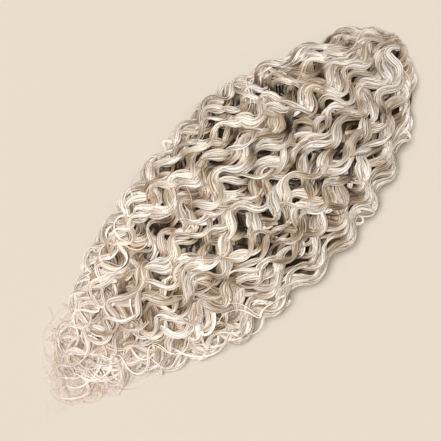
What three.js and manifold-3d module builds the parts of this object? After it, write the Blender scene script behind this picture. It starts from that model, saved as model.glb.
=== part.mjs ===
// A bundle of curly braiding hair lying on a flat surface, in millimetres.
// +X runs from the loose tail to the gathered head, +Y to the bundle's left and +Z up.
// The origin is the middle of the bundle's box on the surface it lies on.
import * as THREE from "three";
import Module from "manifold-3d";

// Driving dimensions.
const LENGTH = 450; // tail tip to head tip
const SEAM_GAP = 0.4; // clearance between neighbouring pieces
const LOWER_SHARE = 0.45; // share of the height taken by the lower length
const MOUND_POWER = 2.6; // how square the mound's cross-section is
const TAIL_STATION = 0.025; // where the packed lengths end and only wisps go on
const HEAD_STATION = 0.925; // where the two lengths end and the head gather begins
const RING_STEP = 7; // distance between cross-sections along the bundle
const LOCKS_ACROSS = 10; // locks side by side over the top
const LOCK_FLAT = 0.66; // share of a lock's breadth that is its raised face
const GROOVE_DEPTH = 5.5; // depth of the groove between two locks
const WAVE_PITCH = 42; // one full wave of a lock, measured along the bundle
const WAVE_SWING = 7; // sideways reach of a wave from its own middle
const WAVE_LIFT = 1.6; // up-and-down reach of a wave
const CALM_WIDTH = 48; // half width of the bundle under which the waves grow smaller
const TURN_PER_LANE = 0.36; // how much of a wave the locks lag from the middle to an edge
const SIDE_FLARE = 0.84; // share of the half width at the foot of the lower length
const FOOT_SHARE = 0.72; // share of the half width that rests on the surface
const HEAD_LIFT = 5; // how far the head's tip stands off the surface
const OVER_WIDTH = 9; // breadth of a loose lock lying over the others
const OVER_DEPTH = 5; // thickness of a loose lock
const WISP_WIDTH = 2.8; // breadth of a wisp in the tail
const WISP_DEPTH = 2.2; // thickness of a wisp
const STEPS_PER_WAVE = 6; // cross-sections along one wave of a loose lock

// The bundle's form, a row per section: station 0 is the tail tip and 1 the head tip.
// mid is the sideways position of the section's middle.
const SECTIONS = [
  { station: 0.0, mid: -8, halfWidth: 8, height: 5 },
  { station: 0.025, mid: -2, halfWidth: 16, height: 8 },
  { station: 0.05, mid: 2, halfWidth: 24, height: 11 },
  { station: 0.1, mid: 5, halfWidth: 36, height: 16 },
  { station: 0.18, mid: 1, halfWidth: 50, height: 23 },
  { station: 0.26, mid: 1, halfWidth: 68, height: 31 },
  { station: 0.36, mid: -3, halfWidth: 84, height: 39 },
  { station: 0.46, mid: -2, halfWidth: 92, height: 44 },
  { station: 0.56, mid: 0, halfWidth: 96, height: 47 },
  { station: 0.66, mid: 0, halfWidth: 92, height: 47 },
  { station: 0.76, mid: -1, halfWidth: 81, height: 44 },
  { station: 0.85, mid: -2, halfWidth: 66, height: 39 },
  { station: 0.92, mid: 2, halfWidth: 51, height: 33 },
  { station: 0.965, mid: 6, halfWidth: 35, height: 27 },
  { station: 0.988, mid: 6, halfWidth: 22, height: 21 },
  { station: 1.0, mid: 6, halfWidth: 8, height: 14 },
];

// Locks along each side of the lower length, a row per edge of a lock from the top down:
// rise is its share of the length's height, inset how far it lies inside the side.
const SIDE_EDGES = [
  { rise: 0.9, inset: 0, turn: 0.1 },
  { rise: 0.64, inset: 0, turn: 0.1 },
  { rise: 0.52, inset: 4, turn: 0.3 },
  { rise: 0.4, inset: 0, turn: 0.55 },
  { rise: 0.14, inset: 0, turn: 0.55 },
];

// Loose locks that lie over the others: lane runs from -1 at the right edge to 1 at the left edge,
// turn is where in its wave a lock starts, pitch and swing scale the wave, hand is the way it winds.
const OVER_LOCKS = [
  { lane: -0.68, from: 0.36, to: 0.88, turn: 0.3, pitch: 1.1, swing: 1.3, hand: 1 },
  { lane: -0.22, from: 0.14, to: 0.66, turn: 0.75, pitch: 0.93, swing: 1.2, hand: -1 },
  { lane: 0.2, from: 0.44, to: 0.91, turn: 0.1, pitch: 1.14, swing: 1.3, hand: 1 },
  { lane: 0.66, from: 0.2, to: 0.74, turn: 0.55, pitch: 1.04, swing: 1.2, hand: -1 },
];

// Wisps that run on into the tail from the lower length.
const TAIL_WISPS = [
  { lane: -0.9, from: 0.055, to: 0.15, turn: 0.0, pitch: 0.6, swing: 1.0, hand: 1 },
  { lane: -0.45, from: 0.0, to: 0.09, turn: 0.4, pitch: 0.55, swing: 1.3, hand: 1 },
  { lane: 0.1, from: 0.004, to: 0.08, turn: 0.8, pitch: 0.6, swing: 1.2, hand: 1 },
  { lane: 0.6, from: 0.012, to: 0.1, turn: 0.2, pitch: 0.55, swing: 1.2, hand: 1 },
  { lane: 1.0, from: 0.03, to: 0.13, turn: 0.6, pitch: 0.6, swing: 1.0, hand: 1 },
];

// The lock that hooks round the gather on top of the head, a row per bend;
// sink is how far it lies under the top there.
const WRAP_BENDS = [
  { x: 220, y: 0, sink: 2.5 },
  { x: 212, y: 7, sink: 0.5 },
  { x: 203, y: 5, sink: 0 },
  { x: 199, y: -3, sink: 0 },
  { x: 201, y: -12, sink: 0.5 },
  { x: 198, y: -20, sink: 2 },
];
const WRAP_WIDTH = 6.5;
const WRAP_DEPTH = 4;

// The cross-section of a loose lock, a row per corner, as shares of its half breadth and thickness.
const LOCK_CORNERS = [
  { across: 1, up: -1 },
  { across: 0.6, up: 1 },
  { across: -0.6, up: 1 },
  { across: -1, up: -1 },
];

const HAIR_COLOUR = 0xcdbfa9;
const WRAP_COLOUR = 0xd8ccb8;

const wasm = await Module();
wasm.setup();

const xAt = (station) => (station - 0.5) * LENGTH;

// The section at a place along the bundle, read between two rows of the table.
function sectionAt(x) {
  const station = THREE.MathUtils.clamp(x / LENGTH + 0.5, 0, 1);
  const next = Math.max(1, SECTIONS.findIndex((row) => row.station >= station));
  const [a, b] = [SECTIONS[next - 1], SECTIONS[next]];
  const share = (station - a.station) / (b.station - a.station);
  const between = (key) => THREE.MathUtils.lerp(a[key], b[key], share);
  const halfWidth = between("halfWidth");
  const height = between("height");
  const calm = Math.min(1, halfWidth / CALM_WIDTH);
  return { mid: between("mid"), halfWidth, height, seam: height * LOWER_SHARE, calm };
}

// The share of its height that the mound keeps at a share of its half width.
const mound = (share) => Math.sqrt(Math.max(0, 1 - Math.abs(share) ** MOUND_POWER));

const waveAngle = (x, pitch, turn) => 2 * Math.PI * (x / (WAVE_PITCH * pitch) + turn);

// Evenly spaced numbers from one end to the other.
const spread = (from, to, count) =>
  Array.from({ length: count + 1 }, (_, i) => from + ((to - from) * i) / count);

// The flat end of a skinned solid as triangles of corner numbers that turn the way its ring turns.
function endFaces(ring) {
  const flat = ring.map((p) => new THREE.Vector2(p.y, p.z));
  const turn = Math.sign(THREE.ShapeUtils.area(flat));
  return THREE.ShapeUtils.triangulateShape(flat, []).map(([a, b, c]) => {
    const same = Math.sign(THREE.ShapeUtils.area([flat[a], flat[b], flat[c]])) === turn;
    return same ? [a, b, c] : [a, c, b];
  });
}

// A closed solid skinned over rings of points that all have the same number of corners.
function skin(rings) {
  const sides = rings[0].length;
  const last = (rings.length - 1) * sides;
  const index = [];
  for (let ring = 0; ring < last; ring += sides) {
    for (let k = 0; k < sides; k++) {
      const a = ring + k;
      const b = ring + ((k + 1) % sides);
      index.push(a, b, a + sides, b, b + sides, a + sides);
    }
  }
  endFaces(rings[0]).forEach(([a, b, c]) => index.push(a, c, b));
  endFaces(rings.at(-1)).forEach(([a, b, c]) => index.push(last + a, last + b, last + c));
  const geometry = new THREE.BufferGeometry().setFromPoints(rings.flat());
  return new wasm.Manifold(
    new wasm.Mesh({
      numProp: 3,
      vertProperties: geometry.getAttribute("position").array,
      triVerts: new Uint32Array(index),
    }),
  );
}

// Solids joined into one body, with no sealed pockets left under a loose lock.
function fuse(solids) {
  const bodies = solids.reduce((whole, solid) => whole.add(solid)).decompose();
  return bodies.reduce((best, body) => (body.volume() > best.volume() ? body : best));
}

// The top of the bundle at a place, from the left edge to the right: each lock is a raised face
// between two grooves, and all its edges swing together with its wave.
function topLine(x, base) {
  const { mid, halfWidth, height, seam, calm } = sectionAt(x);
  const swing = WAVE_SWING * calm;
  const half = 1 / LOCKS_ACROSS;
  const edges = [];
  for (let lock = 0; lock < LOCKS_ACROSS; lock++) {
    const centre = 1 - (2 * lock + 1) * half;
    edges.push({ lock, lane: centre + half * LOCK_FLAT, depth: 0 });
    edges.push({ lock, lane: centre - half * LOCK_FLAT, depth: 0 });
    edges.push({ lock, lane: centre - half, depth: GROOVE_DEPTH * calm });
  }
  edges.pop();
  return edges.map(({ lock, lane, depth }) => {
    const angle = waveAngle(x, 1, TURN_PER_LANE * lane * lane);
    const off = lane * (halfWidth - swing) + swing * Math.sin(angle);
    const lift = WAVE_LIFT * calm * (Math.cos(angle + 2.4 * lock) - 1);
    const top = seam + (height - seam) * mound(off / halfWidth) + lift - depth;
    const least = base + 0.6 + (1 - (off / halfWidth) ** 2);
    return new THREE.Vector3(x, mid + off, Math.max(top, least));
  });
}

// One side of the lower length at a place, from the top down.
function sideLine(x, side, floor, top) {
  const { mid, halfWidth, calm } = sectionAt(x);
  const swing = WAVE_SWING * calm;
  return SIDE_EDGES.map(({ rise, inset, turn }) => {
    const flare = THREE.MathUtils.lerp(SIDE_FLARE, 1, rise);
    const wave = swing * Math.sin(waveAngle(x, 1, turn));
    const out = halfWidth * flare - swing + wave - inset * calm;
    return new THREE.Vector3(x, mid + side * out, THREE.MathUtils.lerp(floor, top, rise));
  });
}

// The foot of the bundle at a place, right then left.
function footLine(x, floor) {
  const { mid, halfWidth } = sectionAt(x);
  return [-1, 1].map((side) => new THREE.Vector3(x, mid + side * halfWidth * FOOT_SHARE, floor));
}

// The upper length: wavy locks over a packed backing, flat over the seam.
function upperRing(x) {
  const base = sectionAt(x).seam + SEAM_GAP / 2;
  const top = topLine(x, base);
  const seat = [top.at(-1), top[0]].map((edge) => new THREE.Vector3(x, edge.y, base));
  return [...top, ...seat];
}

// The lower length: flat where it rests, flat under the seam, with wavy locks along both sides.
function lowerRing(x) {
  const top = sectionAt(x).seam - SEAM_GAP / 2;
  const left = sideLine(x, 1, 0, top);
  const right = sideLine(x, -1, 0, top);
  const shelf = [left[0], right[0]].map((edge) => new THREE.Vector3(x, edge.y, top));
  return [...shelf, ...right, ...footLine(x, 0), ...left.reverse()];
}

// The head, where both lengths are drawn together and the tip stands off the surface.
function headRing(x) {
  const { seam } = sectionAt(x);
  const floor = HEAD_LIFT * THREE.MathUtils.smoothstep(x, xAt(HEAD_STATION), LENGTH / 2);
  const left = sideLine(x, 1, floor, seam);
  const right = sideLine(x, -1, floor, seam);
  return [...topLine(x, seam), ...right, ...footLine(x, floor), ...left.reverse()];
}

// A solid skinned over the rings of a stretch of the bundle.
function stretch(from, to, ringAt) {
  return skin(spread(from, to, Math.ceil((to - from) / RING_STEP)).map(ringAt));
}

// A flattened tube along a middle line, its section square to the line at each step.
function tube(centres, halfSizeAt) {
  const rings = centres.map((centre, i) => {
    const before = centres[Math.max(0, i - 1)];
    const after = centres[Math.min(centres.length - 1, i + 1)];
    const along = after.clone().sub(before).normalize();
    const side = new THREE.Vector3(0, 0, 1).cross(along).normalize();
    const up = along.clone().cross(side);
    const [halfWidth, halfDepth] = halfSizeAt(i / (centres.length - 1));
    return LOCK_CORNERS.map((corner) =>
      centre
        .clone()
        .addScaledVector(side, halfWidth * corner.across)
        .addScaledVector(up, halfDepth * corner.up),
    );
  });
  return skin(rings);
}

// The middle line of a loose lock, at the height that heightAt gives over a place.
function lockLine(lock, heightAt) {
  const [from, to] = [xAt(lock.from), xAt(lock.to)];
  const waves = (to - from) / (WAVE_PITCH * lock.pitch);
  return spread(from, to, Math.ceil(waves * STEPS_PER_WAVE)).map((x) => {
    const { mid, halfWidth, calm } = sectionAt(x);
    const swing = WAVE_SWING * lock.swing * calm;
    const angle = waveAngle(x, lock.pitch, lock.turn);
    const off = lock.lane * (halfWidth - swing) + swing * Math.sin(angle);
    const lift = WAVE_LIFT * lock.hand * calm * Math.cos(angle);
    return new THREE.Vector3(x, mid + off, heightAt(x, off) + lift);
  });
}

// A loose lock that lies over the top of the upper length, thinner towards both ends.
function overLock(lock) {
  const onTop = (x, off) => {
    const { halfWidth, height, seam } = sectionAt(x);
    return seam + (height - seam) * mound(off / halfWidth);
  };
  return tube(lockLine(lock, onTop), (share) => {
    const full = 0.35 + 0.65 * Math.sqrt(Math.sin(Math.PI * THREE.MathUtils.clamp(share, 0.02, 0.98)));
    return [(OVER_WIDTH * full) / 2, (OVER_DEPTH * full) / 2];
  });
}

// A wisp on the surface, thinnest at its free end.
function wisp(lock) {
  const low = () => WISP_DEPTH / 2 + WAVE_LIFT;
  return tube(lockLine(lock, low), (share) => {
    const full = THREE.MathUtils.lerp(0.5, 1, share);
    return [(WISP_WIDTH * full) / 2, (WISP_DEPTH * full) / 2];
  });
}

// The hooked lock on top of the head, made larger by a clearance when it cuts its own seat.
function wrapSolid(clearance) {
  const bends = WRAP_BENDS.map(({ x, y, sink }) => {
    const { mid, halfWidth, height, seam } = sectionAt(x);
    const top = seam + (height - seam) * mound((y - mid) / halfWidth);
    return new THREE.Vector3(x, y, top - sink);
  });
  return tube(new THREE.CatmullRomCurve3(bends).getPoints(20), (share) => {
    const full = 0.55 + 0.45 * Math.sin(Math.PI * share);
    return [(WRAP_WIDTH * full) / 2 + clearance, (WRAP_DEPTH * full) / 2 + clearance];
  });
}

function mesh(name, solid, colour) {
  const { numProp, vertProperties, triVerts } = solid.getMesh();
  const geometry = new THREE.BufferGeometry();
  geometry.setAttribute("position", new THREE.BufferAttribute(vertProperties, numProp));
  geometry.setIndex(new THREE.BufferAttribute(triVerts, 1));
  geometry.computeVertexNormals();
  const material = new THREE.MeshStandardMaterial({ color: colour, roughness: 0.6 });
  const made = new THREE.Mesh(geometry, material);
  made.name = name;
  return made;
}

const [tailEnd, headEnd] = [xAt(TAIL_STATION), xAt(HEAD_STATION)];
const upper = fuse([
  stretch(tailEnd, headEnd - SEAM_GAP / 2, upperRing),
  ...OVER_LOCKS.map(overLock),
]);
const lower = fuse([
  stretch(tailEnd, headEnd - SEAM_GAP / 2, lowerRing),
  ...TAIL_WISPS.map(wisp),
]);
const head = stretch(headEnd + SEAM_GAP / 2, LENGTH / 2, headRing);

const group = new THREE.Group();
group.name = "bundle_of_braiding_hair";
group.add(
  mesh("upper_locks", upper, HAIR_COLOUR),
  mesh("lower_locks", lower, HAIR_COLOUR),
  mesh("head_gather", head.subtract(wrapSolid(SEAM_GAP)), HAIR_COLOUR),
  mesh("wrap_lock", wrapSolid(0), WRAP_COLOUR),
);

export default group;
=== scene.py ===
"""Dresses the bundle of curly braiding hair: wavy locks of flat strands over a packed core.

A lock is a flat backing ribbon with a few flat strands over it. All of them follow one row of waves,
which swing square to the lock's own path on the mound and lie nearly in step with their neighbours'.
Sizes are in metres, in the frame of the solids: +X from the tail to the head, +Y to the bundle's left
and +Z up. A station is a place along the bundle, from 0 at the tail to 1 at the head, and a lane is a
place across it, from -1 to 1.
"""

import logging
from dataclasses import dataclass
from enum import Enum

import bpy
import numpy as np
from mathutils import Matrix, Vector

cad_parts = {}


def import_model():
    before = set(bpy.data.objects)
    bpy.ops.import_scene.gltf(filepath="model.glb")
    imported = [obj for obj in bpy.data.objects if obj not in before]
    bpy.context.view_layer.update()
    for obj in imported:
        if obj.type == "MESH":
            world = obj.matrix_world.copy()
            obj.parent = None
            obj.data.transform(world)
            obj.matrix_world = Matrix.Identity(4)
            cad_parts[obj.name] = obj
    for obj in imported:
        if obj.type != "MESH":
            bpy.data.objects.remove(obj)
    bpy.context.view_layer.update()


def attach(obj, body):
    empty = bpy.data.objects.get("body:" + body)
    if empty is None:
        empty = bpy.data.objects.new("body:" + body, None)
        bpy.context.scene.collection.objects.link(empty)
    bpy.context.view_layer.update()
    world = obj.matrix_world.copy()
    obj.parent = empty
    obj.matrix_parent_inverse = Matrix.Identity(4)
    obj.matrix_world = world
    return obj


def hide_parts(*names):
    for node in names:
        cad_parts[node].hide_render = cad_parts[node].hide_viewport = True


Colour = tuple[float, float, float]
Point = tuple[float, float, float]
Pair = tuple[float, float]

LOG = logging.getLogger("hair_bundle")
TURN = 2.0 * np.pi
MM = 0.001
TINY = 1e-12
GOLDEN_SHARE = 0.618034
STRAND_SEED = 100
WHITE = (1.0, 1.0, 1.0)
UPPER_SOLIDS = ("upper_locks", "head_gather")
LOWER_SOLIDS = ("lower_locks", "head_gather")


class Tone(Enum):
    """The hair's finishes, by where in the bundle the hair lies; most differ in their painted shade."""

    SURFACE = "surface"
    INNER = "inner"
    CORE = "core"
    TAIL = "tail"
    WISP = "wisp"


def smooth(low: float, high: float, value: np.ndarray) -> np.ndarray:
    """Rise from 0 at low to 1 at high along the cubic 3s^2 - 2s^3.

    Args:
        low: Where the rise starts.
        high: Where the rise ends, on either side of low.
        value: Where to read it.

    Returns:
        The rise, from 0 to 1.
    """
    share = np.clip((value - low) / (high - low), 0.0, 1.0)
    return share * share * (3.0 - 2.0 * share)


def unit(vectors: np.ndarray) -> np.ndarray:
    """Scale each vector of an array to length 1."""
    return vectors / np.maximum(np.linalg.norm(vectors, axis=-1, keepdims=True), TINY)


def either_way(rng: np.random.Generator, count: int, share: float = 0.5) -> np.ndarray:
    """Draw +1 for about a share of the values and -1 for the others.

    Args:
        rng: What the draws come from.
        count: How many values.
        share: Share of the values that are +1.

    Returns:
        The values.
    """
    return np.where(rng.random(count) < share, 1.0, -1.0)


def curve_through(points: np.ndarray, steps: int) -> np.ndarray:
    """A smooth curve through points: between two of them a cubic that leaves each along the chord
    of its neighbours, where the end points' missing neighbours are mirrored.

    Args:
        points: The points, a row each.
        steps: How many places to read along the curve.

    Returns:
        The places, a row each.
    """
    knots = np.vstack((2 * points[:1] - points[1:2], points, 2 * points[-1:] - points[-2:-1]))
    share = np.linspace(0.0, len(points) - 1.0, steps)
    knot = np.minimum(share.astype(int), len(points) - 2)
    t = (share - knot)[:, None]
    p0, p1, p2, p3 = (knots[knot + shift] for shift in range(4))
    return 0.5 * (2 * p1 + (p2 - p0) * t + (2 * p0 - 5 * p1 + 4 * p2 - p3) * t**2
                  + (3 * p1 - p0 - 3 * p2 + p3) * t**3)


@dataclass(frozen=True)
class Place:
    """The bundle's section at places along it, one value a place, and the powers of its curves."""

    mid: np.ndarray
    half_width: np.ndarray
    height: np.ndarray
    seam: np.ndarray
    calm: np.ndarray
    arch_power: float = 2.6
    lean_power: float = 2.2
    lean_out: float = 0.4
    lean_down: float = 0.25
    near_power: float = 1.8

    def top(self, off: np.ndarray) -> np.ndarray:
        """Height of the mound at a distance off its middle: the seam plus a superellipse arch.

        Args:
            off: Sideways distance from the section's middle.

        Returns:
            Height of the bundle's top there.
        """
        share = np.clip(np.abs(off) / self.half_width, 0.0, 1.0)
        return self.seam + (self.height - self.seam) * np.sqrt(1.0 - share**self.arch_power)

    def lean(self, off: np.ndarray) -> np.ndarray:
        """Way out of the mound at a distance off its middle: up over the top, leaning out to an edge.

        Args:
            off: Sideways distance from the section's middle.

        Returns:
            A direction, as the last axis of 3.
        """
        share = np.clip(off / self.half_width, -1.0, 1.0)
        side = np.sign(share) * np.abs(share) ** self.lean_power
        up = 1.0 - self.lean_down * np.abs(side)
        return np.stack((np.zeros_like(side), self.lean_out * side, up), axis=-1)

    def nearness(self, off: np.ndarray, z: np.ndarray) -> np.ndarray:
        """How near a point is to the outside: the square root of up^2 + share^power, 1 on the mound.

        Args:
            off: Sideways distance from the section's middle.
            z: Height.

        Returns:
            From 0 in the middle to 1 on the outside.
        """
        up = np.clip((z - self.seam) / (self.height - self.seam), 0.0, 1.0)
        share = np.clip(np.abs(off) / self.half_width, 0.0, 1.0)
        return np.clip(np.sqrt(up * up + share**self.near_power), 0.0, 1.0)


@dataclass(frozen=True)
class BundleForm:
    """The leaf-shaped mound that all locks follow.

    lower_share is the share of the height below the seam, calm_width the half width under which the
    waves shrink, and blur the reach of the mean, over so many taps, that rounds the table's corners.
    Every lane counts its waves from the anchor, along fine steps that overrun both ends. wave is their
    pitch in the middle, pitch_slope changes it across the lanes, and bow and roam shift the waves there.
    pocket is where shade is painted in the hollow beside the hooked lock. The last four fields are the
    sections from the tail to the head, in millimetres but for their stations.
    """

    length: float = 0.450
    lower_share: float = 0.34
    calm_width: float = 0.048
    blur: float = 0.006
    taps: int = 5
    anchor: float = 0.16
    overrun: float = 0.1
    fine: int = 600
    wave: float = 0.037
    pitch_slope: float = 0.08
    bow: float = 0.36
    roam: float = 0.1
    roam_turns: float = 0.9
    roam_start: float = 0.3
    pocket: Pair = (0.2105, 0.0)
    pocket_reach: float = 4.5 * MM
    stations: tuple[float, ...] = (
        0.0, 0.025, 0.05, 0.1, 0.18, 0.26, 0.36, 0.46, 0.56, 0.66, 0.76, 0.85, 0.92, 0.965, 0.988, 1.0,
    )
    mids: tuple[float, ...] = (-8, -2, 2, 5, 1, 1, -3, -2, 0, 0, -1, -2, 2, 6, 6, 6)
    half_widths: tuple[float, ...] = (8, 17, 26, 38, 52, 69, 84, 92, 96, 92, 81, 66, 50, 34, 20, 3)
    heights: tuple[float, ...] = (5, 8, 11, 16, 23, 31, 39, 44, 47, 47, 44, 39, 33, 27, 21, 14)

    def x_at(self, station: np.ndarray) -> np.ndarray:
        """Place along the bundle of a station."""
        return (np.asarray(station) - 0.5) * self.length

    def read(self, x: np.ndarray, row: tuple[float, ...]) -> np.ndarray:
        """A row of the section table at places along the bundle, its corners rounded by a short mean.

        Args:
            x: Places along the bundle.
            row: The row, in millimetres.

        Returns:
            The row's values there, in metres.
        """
        taps = [np.interp((x + shift) / self.length + 0.5, self.stations, row)
                for shift in self.blur * np.linspace(-1.0, 1.0, self.taps)]
        return np.mean(taps, axis=0) * MM

    def at(self, x: np.ndarray) -> Place:
        """The section at places along the bundle.

        Args:
            x: Places along the bundle.

        Returns:
            The section there.
        """
        half = self.read(x, self.half_widths)
        height = self.read(x, self.heights)
        calm = np.minimum(1.0, half / self.calm_width)
        return Place(self.read(x, self.mids), half, height, height * self.lower_share, calm)

    def lay(self, lane: np.ndarray) -> tuple[np.ndarray, np.ndarray]:
        """The waves across the bundle: their shift and pitch change slowly, so neighbours lie in step.

        Args:
            lane: The lanes.

        Returns:
            Shift in turns, and pitch.
        """
        roam = self.roam * np.sin(TURN * (self.roam_turns * lane + self.roam_start))
        return self.bow * lane * lane + roam, self.wave * (1.0 - self.pitch_slope * lane)

    def run(self, x: np.ndarray, lane: np.ndarray) -> np.ndarray:
        """Length along a lane from the anchor to places on it: the sum of its small straight steps.

        Args:
            x: Places along the bundle, a row a lane.
            lane: The lanes.

        Returns:
            The lengths, more than 0 towards the head.
        """
        grid = self.x_at(np.linspace(-self.overrun, 1.0 + self.overrun, self.fine))
        side = self.read(grid, self.mids) + lane[:, None] * self.read(grid, self.half_widths)
        steps = np.hypot(np.diff(grid), np.diff(side, axis=1))
        lengths = np.concatenate((np.zeros((len(lane), 1)), np.cumsum(steps, axis=1)), axis=1)
        return np.stack([np.interp(places, grid, row) - np.interp(self.anchor, grid, row)
                         for places, row in zip(x, lengths)])

    def tail_end(self, rank: np.ndarray) -> np.ndarray:
        """Station where the narrowing tail holds only this share of the locks.

        Args:
            rank: Share of the locks, from 0 to 1.

        Returns:
            The station.
        """
        tail = int(np.argmax(self.half_widths)) + 1
        narrow = np.array(self.half_widths[:tail]) / max(self.half_widths)
        return np.interp(rank, narrow, self.stations[:tail])


@dataclass
class Strands:
    """Middle lines of many strands with the facts their meshes and finishes need.

    centres is strands by steps by 3, faces the thin direction of each strand, half_widths and
    half_depths strands by steps; tones and hues are one value a strand, stations strands by steps, and
    depths, the painted shade level from 1 where no shade is painted down, strands by steps.
    """

    centres: np.ndarray
    faces: np.ndarray
    half_widths: np.ndarray
    half_depths: np.ndarray
    tones: np.ndarray
    hues: np.ndarray
    stations: np.ndarray
    painted_shades: np.ndarray

    def pick(self, index: np.ndarray) -> "Strands":
        """Some of the strands, by their numbers."""
        return Strands(*(values[index] for values in vars(self).values()))


@dataclass(frozen=True)
class StrandSize:
    """How many strands make a lock, their size and how freely they lie in it.

    A lock has backing ribbons under count strands. A strand's breadth is overlap times its share of
    the lock, and its thickness a share of its breadth. play and stray move a strand aside, loosen and
    loosen_turn let it go past loose_from, curl is how far it loops before that, and calm how fast its
    waves shrink with the bundle. wander and own_way let a lock's waves leave its neighbours'. in_step
    is how far a lock bobs with its waves, and bound the outermost lane. burial and dip_shade set the
    painted shade deep in the mound and down in the waves, where a lift of full_dip is the darkest.
    end_spread is how far strands differ in length, and thin_tip the breadth left at the free end past
    thin_from.
    """

    count: int = 5
    backing: int = 1
    steps: int = 170
    overlap: float = 2.1
    thickness: float = 0.15
    play: float = 0.15 * MM
    stray: float = 0.8 * MM
    loosen: float = 2.5
    loosen_turn: float = 0.02
    loose_from: float = 0.6
    curl: float = 0.3
    calm: float = 0.45
    wander: float = 0.125
    own_way: float = 0.1
    end_spread: float = 0.02
    in_step: float = 0.5
    bound: float = 1.0
    burial_shade: float = 0.95
    dip_shade: float = 0.62
    full_dip: float = 2.4 * MM
    thin_tip: float = 0.32
    thin_from: float = 0.8


@dataclass
class LockPlan:
    """The winding of several locks, one value a lock in each array.

    lane and drift place a lock across the bundle, and rise as a share of the mound's height. turn,
    pitch, swing and loop are its waves, lift and hand how far and which way it bobs with them. width
    is its breadth, start and end its stations, and wound how far it turns over on its edge at a crest.
    """

    lane: np.ndarray
    drift: np.ndarray
    rise: np.ndarray
    turn: np.ndarray
    pitch: np.ndarray
    swing: np.ndarray
    lift: np.ndarray
    hand: np.ndarray
    width: np.ndarray
    start: np.ndarray
    end: np.ndarray
    loop: np.ndarray
    wound: np.ndarray


@dataclass(frozen=True)
class WaveHabit:
    """How the waves of every lock vary.

    A pair is the stations or lanes between which a change happens, or the length and size of a slow
    ripple, and slow_lengths are those between which a lock's slow bob is drawn. Waves go astray towards
    the tail, wander less at the edges and die down in the gathered head.
    """

    astray: Pair = (0.1, 0.45)
    astray_swing: float = 0.3
    swerve: Pair = (0.07, 0.14)
    shared: float = 0.6
    wander_length: float = 0.17
    edge: Pair = (0.5, 0.9)
    edge_calm: float = 0.2
    gathered: Pair = (0.94, 0.99)
    gathered_calm: float = 0.7
    swell: Pair = (0.13, 0.26)
    loose_swing: float = 0.25
    strand_swing: float = 0.05
    strand_turn: float = 0.02
    lane_ripple: Pair = (0.21, 0.04)
    round_crest: float = 0.1
    stray_length: float = 0.046
    slow_lengths: Pair = (0.06, 0.11)
    bob: float = 1.3


@dataclass(frozen=True)
class LockHabit:
    """How every lock is built: its breadth, its arch, its tucked ends and the lie of its strands.

    pinch narrows a lock at its crests, and tail_power and head_power are how closely its breadth
    follows the bundle's. root_tuck is the share of its height left at its root, and tip_tuck the share
    that its tip loses where it ends inside the bundle. sink is how far a lock may sink towards the
    tail. swell is the length and size of a slow ripple, and the other pairs are stations, or shares of
    the lock's length, between which a change happens.
    """

    pinch: float = 0.56
    tail_power: float = 0.6
    head_power: float = 0.35
    swell: Pair = (0.09, 0.12)
    astray_narrow: float = 0.2
    uneven: float = 0.18
    clear: float = 0.45
    least_reach: float = 0.25
    arch: float = 0.23
    backing_drop: float = 0.08
    root_tuck: float = 0.5
    root_tuck_share: float = 0.05
    tip_tuck: float = 0.4
    tip: Pair = (0.88, 1.0)
    inside: Pair = (0.12, 0.3)
    sink: float = 0.55
    height_play: float = 0.5
    ground_gap: float = 0.3 * MM
    ground_share: float = 0.3
    roll: float = 1.6
    twist: float = 0.4
    twist_lag: float = 0.8
    backing_span: float = 0.85
    backing_astray: float = 0.4
    backing_thickness: float = 0.1
    strand_spread: float = 0.16
    root_width: float = 0.25
    root_width_share: float = 0.06


@dataclass(frozen=True)
class ShadeHabit:
    """How tones vary and where shade is painted on the hair: down in its waves, deep in the mound, at
    the sides of a lock and in the pocket. Tones and hues spread by strand and by lock, and the other
    pairs are stations between which the painted shade changes.
    """

    tones: Pair = (0.2, 0.16)
    hues: Pair = (0.15, 0.22)
    # Painted shade down in the waves' dips: its power, least share and relief at the edges and head.
    dip_power: float = 2.2
    least_dip: float = 0.6
    edge_relief: float = 0.8
    edge_power: int = 6
    head: Pair = (0.82, 0.95)
    head_relief: float = 0.5
    body: Pair = (-0.02, 0.57)
    gather: Pair = (0.9, 0.97)
    gather_relief: float = 0.85
    tail_dip: float = 0.12
    # Painted shade on strands that have sunk among the others.
    sunk: float = 0.05
    # Strength of the painted shade in the pocket.
    pocket: float = 0.6
    # Painted shade at a lock's sides, and the share of it left at the tail.
    side: float = 0.04
    tail_side: float = 0.4


@dataclass
class Course:
    """The lines that strands take, as arrays of locks by strands by steps.

    angle is that of the waves, off the distance from the section's middle, z the height, sway how
    high the waves carry a strand, sunk how far it has sunk among the others, way its level direction
    and side the level direction square to it.
    """

    angle: np.ndarray
    off: np.ndarray
    z: np.ndarray
    sway: np.ndarray
    sunk: np.ndarray
    centres: np.ndarray
    way: np.ndarray
    side: np.ndarray


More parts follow.
